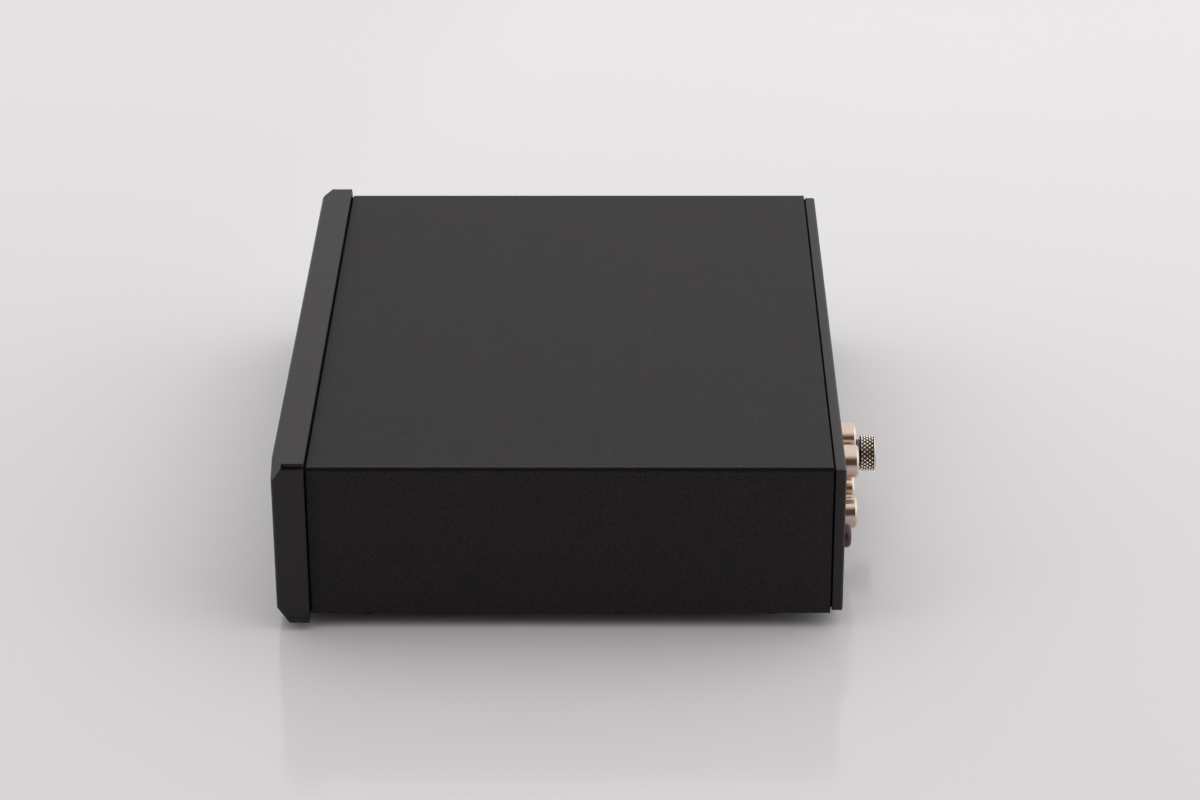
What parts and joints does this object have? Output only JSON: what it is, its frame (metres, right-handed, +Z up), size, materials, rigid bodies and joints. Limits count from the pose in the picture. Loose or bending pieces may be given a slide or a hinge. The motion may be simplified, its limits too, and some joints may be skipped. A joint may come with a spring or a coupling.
{
  "type": "phono preamplifier",
  "caption": "Phono preamplifier in a flat folded-steel case with a proud front panel, a stack of phono sockets and a knurled ground terminal at the rear.",
  "frame": {"origin": "on the surface the part stands on, under the middle of the whole outline", "axes": "+X to the right as seen from the front, +Y from the front face to the rear sockets, +Z up"},
  "size_m": [0.17, 0.1486, 0.0453],
  "materials": {
    "satin_steel": "smooth satin black powder coat",
    "textured_steel": "fine textured matt black powder coat",
    "zinc_steel": "zinc plated",
    "black_screw": "black zinc plated",
    "foot_rubber": "matt",
    "board_laminate": "glass-fibre laminate with solder mask",
    "black_plastic": "moulded",
    "gold_plating": "pale gold plated",
    "white_plastic": "moulded",
    "red_plastic": "moulded",
    "nickel_brass": "nickel plated, diamond knurled",
    "wire_sleeve": "extruded sleeve",
    "clear_plastic": "clear",
    "led_lens": "clear tinted",
    "can_sleeve": "shrunk sleeve",
    "film_case": "moulded case",
    "resistor_coat": "lacquered",
    "choke_ferrite": "wound drum"
  },
  "bodies": {
    "case": {"front_panel": "satin_steel", "top_cover": "textured_steel", "chassis": "satin_steel", "rear_panel": "satin_steel", "front_nuts": "zinc_steel", "rear_screws": "black_screw", "clinch_nuts": "zinc_steel", "cover_screws": "black_screw", "feet": "foot_rubber", "circuit_board": "board_laminate", "board_standoffs": "zinc_steel", "board_screws": "zinc_steel", "socket_block": "black_plastic", "input_left_shell": "gold_plating", "input_right_shell": "gold_plating", "output_left_shell": "gold_plating", "output_right_shell": "gold_plating", "left_insulators": "white_plastic", "right_insulators": "red_plastic", "socket_contacts": "gold_plating", "ground_post": "nickel_brass", "ground_spacer": "zinc_steel", "ground_nut": "zinc_steel", "ground_lug": "zinc_steel", "ground_wire": "wire_sleeve", "power_inlet": "black_plastic", "power_pin": "zinc_steel", "mode_switch": "zinc_steel", "light_guide": "clear_plastic", "power_led": "led_lens", "op_amps": "black_plastic", "electrolytic_caps": "can_sleeve", "film_caps": "film_case", "resistors": "resistor_coat", "voltage_regulator": "black_plastic", "power_chokes": "choke_ferrite"},
    "clamp": {"ground_washer": "nickel_brass"},
    "knob": {"ground_knob": "nickel_brass"},
    "slider": {"mode_slider": "black_plastic"}
  },
  "joints": [
    {"name": "ground_clamp_travel", "type": "slide", "parent": "case", "child": "clamp", "axis": [0, 1, 0], "range_m": [-0.0014, 0.0021]},
    {"name": "ground_knob_turn", "type": "hinge", "parent": "clamp", "child": "knob", "pos_m": [0.0256, 0.07233, 0.0184], "axis": [0, 1, 0], "range_deg": [-721, 1081]},
    {"name": "mode_select", "type": "slide", "parent": "case", "child": "slider", "axis": [1, 0, 0], "range_m": [0, 0.004]}
  ],
  "couplings": [
    {"joint": "ground_knob_turn", "follows": "ground_clamp_travel", "rad_per_m": 8976}
  ]
}
